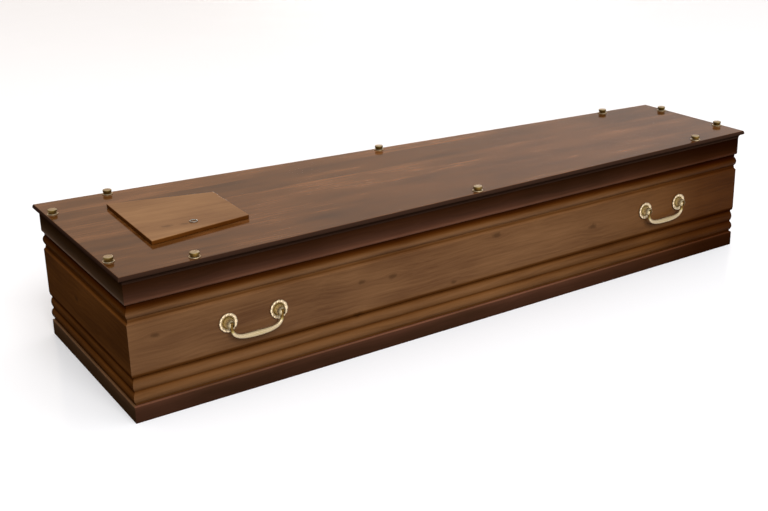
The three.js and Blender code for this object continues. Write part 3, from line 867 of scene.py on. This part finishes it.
def slotted_rosette():
    """The hood's slot, open below and in front, leaves two cheeks and a bridge over the bail's eye."""
    half_slot = ARM_WIDTH / 2 + SLOT_SIDE_GAP
    slot_back = PIVOT_REACH - EYE_RADIUS - SLOT_BACK_GAP
    slot_top = PIVOT_RISE + EYE_RADIUS + SLOT_TOP_GAP
    off_base = ((0, 0, slot_back), (0, 0, -1))
    parts = []
    for cuts in (
        [((0, 0, slot_back), (0, 0, 1))],
        [off_base, ((half_slot, 0, 0), (-1, 0, 0))],
        [off_base, ((-half_slot, 0, 0), (1, 0, 0))],
        [off_base, ((half_slot, 0, 0), (1, 0, 0)), ((-half_slot, 0, 0), (-1, 0, 0)),
         ((0, slot_top, 0), (0, -1, 0))],
    ):
        shape = bmesh.new()
        shape.from_mesh(rosette_shell())
        for point, normal in cuts:
            cut_off(shape, point, normal)
        bmesh.ops.triangulate(shape, faces=[face for face in shape.faces if len(face.verts) > 4])
        bmesh.ops.recalc_face_normals(shape, faces=shape.faces)
        part = bpy.data.meshes.new("part")
        shape.to_mesh(part)
        shape.free()
        parts.append(part)
    ends = ((0, -PIN_HALF), (PIN_RADIUS, -PIN_HALF), (PIN_RADIUS, PIN_HALF), (0, PIN_HALF))
    pin = turned("pin", [(radius, height, 0.4) for radius, height in ends], 20)
    pin.transform(ACROSS)
    pin.transform(Matrix.Translation(Vector((0, PIVOT_RISE, PIVOT_REACH)) * MM))
    parts.append(pin)
    return joined("rosette", parts)


def handle_frame(edge, x):
    """Matrix of a handle's frame: x along the wall, -y out of it, at the rosettes' level."""
    at = edge_place(edge, 0, 0, x)
    along = edge_direction(WALL_PLAN, edge)
    turn = Matrix.Rotation(math.atan2(along.y, along.x), 4, "Z")
    return Matrix.Translation(Vector((at.x, at.y, ROSETTE_LEVEL)) * MM) @ turn


def bail_mesh():
    """A cast bail: two arms with bored eyes, and a broad reeded grip. Hangs from z = 0 in the plane y = 0."""
    steps, sides = 96, 40
    # Held a little inside the solid
    inset = 0.96
    points, faces, tarnish_and_shade = [], [], []
    path = []
    power = 2 / BAIL_SQUARENESS
    for i in range(steps + 1):
        angle = math.pi * i / steps
        side = math.cos(angle)
        x = -math.copysign(ROSETTE_SPACING / 2 * abs(side) ** power, side)
        path.append(Vector((x, 0, -BAIL_DROP * max(0.0, math.sin(angle)) ** power)))
    # Even steps along the path
    lengths = [0.0]
    for a, b in zip(path, path[1:]):
        lengths.append(lengths[-1] + (b - a).length)
    even = []
    for i in range(steps + 1):
        wanted = lengths[-1] * i / steps
        k = next((n for n in range(1, steps + 1) if lengths[n] >= wanted - 1e-9), steps)
        share = (wanted - lengths[k - 1]) / max(1e-9, lengths[k] - lengths[k - 1])
        even.append(path[k - 1].lerp(path[k], share))
    for i, at in enumerate(even):
        along = (even[min(i + 1, steps)] - even[max(i - 1, 0)]).normalized()
        if i in (0, steps):
            along = Vector((0, 0, -1 if i == 0 else 1))
        across = Vector((-along.z, 0, along.x))
        swell = math.sin(math.pi * i / steps) ** 2
        # Painted shade where the ends sit in the rosettes' slots, fading out between 12 and 30 mm from them
        from_end = lengths[-1] * min(i, steps - i) / steps
        slot_shade = 1.05 * min(1.0, max(0.0, (30 - from_end) / 18))
        width = ARM_WIDTH + (GRIP_WIDTH - ARM_WIDTH) * swell
        thick = ARM_THICK + (GRIP_THICK - ARM_THICK) * swell
        for s in range(sides):
            angle = 2 * math.pi * s / sides
            reed = 0.5 - 0.5 * math.cos(REEDS * angle)
            fit = inset * (1 - REED_DEPTH * swell * reed)
            round_x = math.copysign(abs(math.cos(angle)) ** 0.85, math.cos(angle))
            round_y = math.copysign(abs(math.sin(angle)) ** 0.85, math.sin(angle))
            point = at + across * (width / 2 * round_x * fit)
            point.y = thick / 2 * round_y * fit
            points.append(tuple(point))
            tarnish_and_shade.append(max(0.22 * swell * reed + 0.22, slot_shade))
    for i in range(steps):
        for s in range(sides):
            a = i * sides + s
            b = i * sides + (s + 1) % sides
            faces.append((a, b, b + sides, a + sides))
    last = steps * sides
    faces.append(tuple(range(sides)))
    faces.append(tuple(range(last + sides - 1, last - 1, -1)))
    grip = mesh_from("grip", points, faces)
    mark_tarnish_and_shade(grip, tarnish_and_shade)
    face_outwards(grip)
    parts = [grip]
    half = ARM_WIDTH / 2
    # The eyes are painted dark all through, as painted shade inside the rosettes' slots
    ring = [
        (EYE_BORE, -half + 0.4, 1.0), (EYE_BORE + 0.4, -half, 1.0),
        (EYE_RADIUS - 0.7, -half, 1.0), (EYE_RADIUS, -half + 0.7, 1.0),
        (EYE_RADIUS, half - 0.7, 1.0), (EYE_RADIUS - 0.7, half, 1.0),
        (EYE_BORE + 0.4, half, 1.0), (EYE_BORE, half - 0.4, 1.0),
    ]
    for side in (-1, 1):
        eye = turned("eye", ring, 40, closed=True)
        face_outwards(eye)
        eye.transform(ACROSS)
        eye.transform(Matrix.Translation(Vector((side * ROSETTE_SPACING / 2, 0, 0)) * MM))
        parts.append(eye)
    return joined("bail", parts)


# Camera at the photograph's viewing angle, and the studio round the coffin
CAMERA_PLACE = (-1.8296, -2.8515, 1.3516)
CAMERA_ROUND = math.radians(-30.59)
CAMERA_ABOVE = math.radians(20.07)
CAMERA_ROLL = math.radians(-1.49)
CAMERA_LENS = 58.08
SENSOR_WIDTH = 36
FLOOR_HALF = 40000


def set_camera():
    """Fitted to the coffin's corners, edges and screws: 30.6 degrees round to the head end and 20.1 above."""
    flat = math.cos(CAMERA_ABOVE)
    back = Vector((math.sin(CAMERA_ROUND) * flat, -math.cos(CAMERA_ROUND) * flat, math.sin(CAMERA_ABOVE)))
    right = Vector((0, 0, 1)).cross(back).normalized()
    up = back.cross(right)
    level_right = math.cos(CAMERA_ROLL) * right + math.sin(CAMERA_ROLL) * up
    level_up = math.cos(CAMERA_ROLL) * up - math.sin(CAMERA_ROLL) * right
    lens = bpy.data.cameras.new("camera")
    lens.sensor_width = SENSOR_WIDTH
    lens.lens = CAMERA_LENS
    lens.clip_start = 0.05
    lens.clip_end = 100
    camera = link_object("camera", lens)
    turn = Matrix((level_right, level_up, back)).transposed()
    camera.matrix_world = Matrix.Translation(CAMERA_PLACE) @ turn.to_4x4()
    bpy.context.scene.camera = camera


def add_light(name, towards, width_deg, strength):
    """A far, broad light: from one direction, as wide in the sky as width_deg."""
    lamp = bpy.data.lights.new(name, "SUN")
    lamp.angle = math.radians(width_deg)
    lamp.energy = strength
    light = link_object(name, lamp)
    light.rotation_euler = Vector(towards).to_track_quat("Z", "Y").to_euler()
    return light


def set_studio():
    """A room of soft light, dimmer at the head end, with a soft box, a glint for the brass and a far fill."""
    world = bpy.data.worlds.new("studio")
    world.use_nodes = True
    tree = world.node_tree
    tree.nodes.clear()
    way = node(tree, "ShaderNodeTexCoord").outputs["Generated"]
    axes = node(tree, "ShaderNodeSeparateXYZ", {"Vector": way}).outputs
    levels = ((0.0, 0.35), (0.35, 0.48), (0.6, 0.58), (0.85, 0.63))
    head_to_foot = [(at, (light, light, light, 1)) for at, light in levels]
    foot_to_top = [
        (0.0, (0.12, 0.105, 0.1, 1)), (0.47, (0.24, 0.22, 0.21, 1)), (0.53, (0.75, 0.74, 0.74, 1)),
        (0.68, (1.1, 1.1, 1.12, 1)), (1.0, (1.5, 1.5, 1.52, 1)),
    ]
    # The near side is the brighter one, and the far wall gives the lid a warm sheen
    near_to_far = [
        (0.0, (1.0, 1.0, 1.0, 1)), (0.6, (0.59, 0.58, 0.57, 1)), (0.84, (0.64, 0.58, 0.53, 1)),
        (0.95, (0.58, 0.46, 0.36, 1)),
    ]
    colour = (1, 1, 1)
    for axis, stops in (("X", head_to_foot), ("Z", foot_to_top), ("Y", near_to_far)):
        across = {"Value": axes[axis], "From Min": -1.0, "From Max": 1.0}
        level = node(tree, "ShaderNodeMapRange", across).outputs["Result"]
        shade = node(tree, "ShaderNodeValToRGB", {"Fac": level})
        ramp_stops(shade, stops)
        colour = node(
            tree, "ShaderNodeVectorMath", {0: colour, 1: shade.outputs["Color"]}, operation="MULTIPLY",
        ).outputs[0]
    soft = node(tree, "ShaderNodeBackground", {"Color": colour, "Strength": 1.7}).outputs["Background"]
    paper = node(tree, "ShaderNodeBackground", {"Color": (1, 1, 1, 1), "Strength": 1.0}).outputs["Background"]
    seen = node(tree, "ShaderNodeLightPath").outputs["Is Camera Ray"]
    both = node(tree, "ShaderNodeMixShader", {0: seen, 1: soft, 2: paper}).outputs["Shader"]
    node(tree, "ShaderNodeOutputWorld", {"Surface": both})
    bpy.context.scene.world = world
    soft_box = add_light("soft_box", (-0.12, -0.8, 0.6), 40, 3.0)
    # Kept out of the gloss, so that the lid doesn't glare when seen from the far side
    soft_box.visible_glossy = False
    glint = add_light("brass_glint", (-0.12, -0.99, -0.1), 40, 2.2)
    glint.visible_diffuse = False
    # Below the lid's level, so that it lights only the far side and the foot end
    add_light("far_fill", (0.55, 0.83, -0.2), 34, 2.0)


def set_floor():
    """A sheet of white laminate, faintly glossy, that runs out of sight on every side."""
    finish, tree, place = new_finish("white_laminate_floor")
    mottle = node(tree, "ShaderNodeTexNoise", {"Vector": place, "Scale": 3.0, "Detail": 2.0}).outputs["Fac"]
    roughness = node(
        tree, "ShaderNodeMapRange", {"Value": mottle, "To Min": 0.1, "To Max": 0.16}).outputs["Result"]
    laminate = node(
        tree, "ShaderNodeBsdfPrincipled",
        {"Base Color": linear("#ecedef"), "Roughness": roughness, "IOR": 1.45, "Specular IOR Level": 0.2,
         "Emission Color": (1, 1, 1, 1), "Emission Strength": 0.05},
    )
    node(tree, "ShaderNodeOutputMaterial", {"Surface": laminate.outputs["BSDF"]})
    half = FLOOR_HALF
    corners = [(-half, -half, 0), (half, -half, 0), (half, half, 0), (-half, half, 0)]
    sheet = mesh_from("floor", corners, [(0, 1, 2, 3)])
    sheet.materials.append(finish)
    floor = link_object("floor", sheet)
    # The coffin is lit by the room, and the floor shows only in its metal and lacquer
    floor.visible_diffuse = False
    floor.visible_shadow = False


set_camera()
set_studio()
set_floor()
bpy.context.scene.view_settings.view_transform = "Standard"

# Turn of the long sides from the length of the coffin, in degrees
NEAR_TURN = 3.04

# Knots: x, y, z and radius
KNOTS_NEAR = [
    (-950, -315, 209, 6), (-393, -285, 116, 8), (-380, -284, 204, 6), (-284, -280, 197, 7),
    (-87, -269, 134, 5), (60, -261, 236, 8), (416, -243, 186, 8), (700, -229, 150, 5),
]
KNOTS_FAR = [(-600, 297, 170, 9), (-150, 273, 220, 7), (330, 248, 150, 10), (800, 222, 210, 7)]
KNOTS_LID = [
    (-905, -215, 372, 8), (-420, 190, 372, 9), (-60, -120, 372, 8), (330, 120, 372, 10), (700, -90, 372, 7),
    (880, 110, 372, 6),
]
KNOTS_TOP_BOARD = [(-813, -84, 384, 9), (-770, -91, 384, 7)]
# Painted light and shade along the coffin, for light that falls off towards the foot: the long sides, rails
# and plinths darken towards the foot
FOOT_PAINTED_SHADE = [
    (-1020, 1.0), (-500, 1.0), (-200, 1.1), (150, 1.08), (450, 0.92), (700, 0.71), (860, 0.45), (1020, 0.37),
]
# Painted light along the lid: a little darker at the head end and the foot than in the middle
LID_PAINTED_LIGHT = [(-1020, 1.06), (-700, 1.09), (-500, 1.2), (300, 1.22), (1020, 1.1)]

# Dark, middle and pale colour of each stain
WALNUT_STAIN = ("#50341f", "#66472d", "#765438")
# The end boards are darker, partly a deeper stain and partly painted shade, as the head end gets little light
WALNUT_STAIN_ENDS_SHADED = ("#40230b", "#533011", "#663e19")
WALNUT_STAIN_LID = ("#2f1805", "#523013", "#744a2a")
DARK_STAIN = ("#2a190f", "#341f15", "#3e271b")
DARK_STAIN_ENDS = ("#2f2012", "#3b2818", "#47311e")

side_near = stained_pine(
    "walnut_stained_pine_near", *WALNUT_STAIN, NEAR_TURN, (0.3, 0.1, 0.7), KNOTS_NEAR, WALL_SPRAY_AND_SHADE, FOOT_PAINTED_SHADE,
    heart=(-318, 90))
side_far = stained_pine(
    "walnut_stained_pine_far", *WALNUT_STAIN, -NEAR_TURN, (1.7, 0.4, 0.2), KNOTS_FAR, WALL_SPRAY_AND_SHADE, FOOT_PAINTED_SHADE,
    heart=(318, 90))
end_head = stained_pine(
    "walnut_stained_pine_head", *WALNUT_STAIN_ENDS_SHADED, 90, (2.3, 0.9, 0.5), [(-1017, 60, 190, 8)], END_SPRAY_SHADE_AND_HIGHLIGHTS,
    heart=(1100, 120), coat=0.012)
end_foot = stained_pine(
    "walnut_stained_pine_foot", *WALNUT_STAIN_ENDS_SHADED, 90, (3.1, 0.2, 0.8), [(1017, -50, 180, 8)], END_SPRAY_SHADE_AND_HIGHLIGHTS,
    heart=(-1100, 120), coat=0.03)
lid_wood = stained_pine(
    "walnut_stained_pine_lid", *WALNUT_STAIN_LID, 0, (0.9, 0.5, 0.1), KNOTS_LID, board_width=128,
    run=LID_PAINTED_LIGHT, heart=(0, -290), coat=0.78, knot_depth=0.25, edge_stain=(372.5, "#2e1e16"))
floor_wood = stained_pine(
    "walnut_stained_pine_floor", "#4a2d1a", "#6a4629", "#805a38", 0, (0.2, 0.8, 0.3), board_width=140)
top_wood = stained_pine(
    "honey_stained_pine", "#6c492c", "#825d3b", "#95704a", -1.6, (0.4, 0.3, 0.9), KNOTS_TOP_BOARD,
    spray_and_shade=TOP_BOARD_SPRAY, heart=(0, -300), coat=0.5, knot_depth=0.45)
rail_woods, plinth_woods = {}, {}
for edge, side in SIDES.items():
    grain = {NEAR: NEAR_TURN, FAR: -NEAR_TURN}.get(edge, 90)
    stain = DARK_STAIN if edge in (NEAR, FAR) else DARK_STAIN_ENDS
    rail_woods[edge] = stained_pine(
        "dark_stained_pine_rail_" + side, *stain, grain, (1.1 * edge, 0.4, 0.6), (), RAIL_SPRAY_AND_SHADE, FOOT_PAINTED_SHADE)
    plinth_woods[edge] = stained_pine(
        "dark_stained_pine_plinth_" + side, *stain, grain, (0.7 * edge, 0.9, 0.3), (), PLINTH_SPRAY_AND_HIGHLIGHT, FOOT_PAINTED_SHADE)
brass = cast_brass("sand_cast_brass")
nickel = nickel_plate("nickel_plated_wire")

wall_woods = {NEAR: side_near, FOOT: end_foot, FAR: side_far, HEAD: end_head}
for edge, side in SIDES.items():
    board = "side_board_" + side if edge in (NEAR, FAR) else side + "_board"
    wall = rail_mesh(edge, wall_section(), wall_woods[edge])
    fit_piece("milled_" + board, wall, wall_woods[edge], "stained_pine", "box", board)
    plinth = rail_mesh(edge, plinth_section(), plinth_woods[edge])
    fit_piece("plinth_rail_" + side, plinth, plinth_woods[edge], "dark_stained_pine", "box", "plinth_" + side)
    skirt = rail_mesh(edge, lid_rail_section(), rail_woods[edge])
    fit_piece("lid_skirt_" + side, skirt, rail_woods[edge], "dark_stained_pine", "box", "lid_rail_" + side)

lid = edged_board("lid", WALL_PLAN, lid_board_edge())
fit_piece("lid_panel", lid, lid_wood, "stained_pine", "box", "lid_board")

top_board_place = Matrix.Translation(Vector((*TOP_BOARD_CENTRE, LID_TOP + SEAT_GAP)) * MM)
top_board_place = top_board_place @ Matrix.Rotation(TOP_BOARD_TURN, 4, "Z")
top_plan = tapered_plan(TOP_BOARD_LENGTH, TOP_BOARD_HEAD_WIDTH, TOP_BOARD_FOOT_WIDTH)
top_mesh = moved(edged_board("top", top_plan, top_board_edge()), top_board_place)
fit_piece("tapered_top_board", top_mesh, top_wood, "light_stained_pine", "box", "top_board")

wire_half = EYELET_WIRE_HEIGHT / 2
wire = arc((EYELET_RADIUS, wire_half), (EYELET_WIRE, wire_half), 0, 336, 14)
eyelet = turned("eyelet", [(radius, height, 0) for radius, height in wire], 64, closed=True)
face_outwards(eyelet)
eyelet_y = EYELET_FROM_EDGE - (TOP_BOARD_HEAD_WIDTH + TOP_BOARD_FOOT_WIDTH) / 4
eyelet_place = Matrix.Translation(Vector((0, eyelet_y, TOP_BOARD_THICK + SEAT_GAP)) * MM)
eyelet = moved(eyelet, top_board_place @ eyelet_place)
fit_piece("eyelet_ring", eyelet, nickel, "nickel_plate", "box", "board_eyelet")

screw_marks = [((at.x, at.y, LID_TOP + SEAT_GAP), (0, 0, 0)) for at in screw_places()]
screws = set_out(lid_screw_mesh(), screw_marks, brass)
fit_piece("lid_screws", screws, brass, "cast_brass", "box", *[f"lid_screw_{n}" for n in range(1, 11)])

rosette = slotted_rosette()
rosette_marks, rosette_nodes = [], []
for edge, side in ((NEAR, "near"), (FAR, "far")):
    for end, x in (("head", -HANDLE_X), ("foot", HANDLE_X)):
        stand = handle_frame(edge, x)
        for hand, sign in (("left", -1), ("right", 1)):
            at = stand @ (Vector((sign * ROSETTE_SPACING / 2, -SEAT_GAP, 0)) * MM)
            upright = stand @ Matrix.Rotation(math.pi / 2, 4, "X")
            rosette_marks.append((tuple(at / MM), tuple(upright.to_euler())))
            rosette_nodes.append(f"rosette_{side}_{end}_{hand}")
        hang = Matrix.Translation(Vector((0, -SEAT_GAP - PIVOT_REACH, PIVOT_RISE)) * MM)
        fit_piece(
            f"swing_bail_{side}_{end}", moved(bail_mesh(), stand @ hang), brass, "cast_brass",
            f"{side}_{end}_handle", f"bail_{side}_{end}")
rosettes = set_out(rosette, rosette_marks, brass)
fit_piece("rosettes", rosettes, brass, "cast_brass", "box", *rosette_nodes)

floor_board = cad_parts["floor_board"]
for slot in floor_board.material_slots:
    slot.material = floor_wood
if not floor_board.material_slots:
    floor_board.data.materials.append(floor_wood)
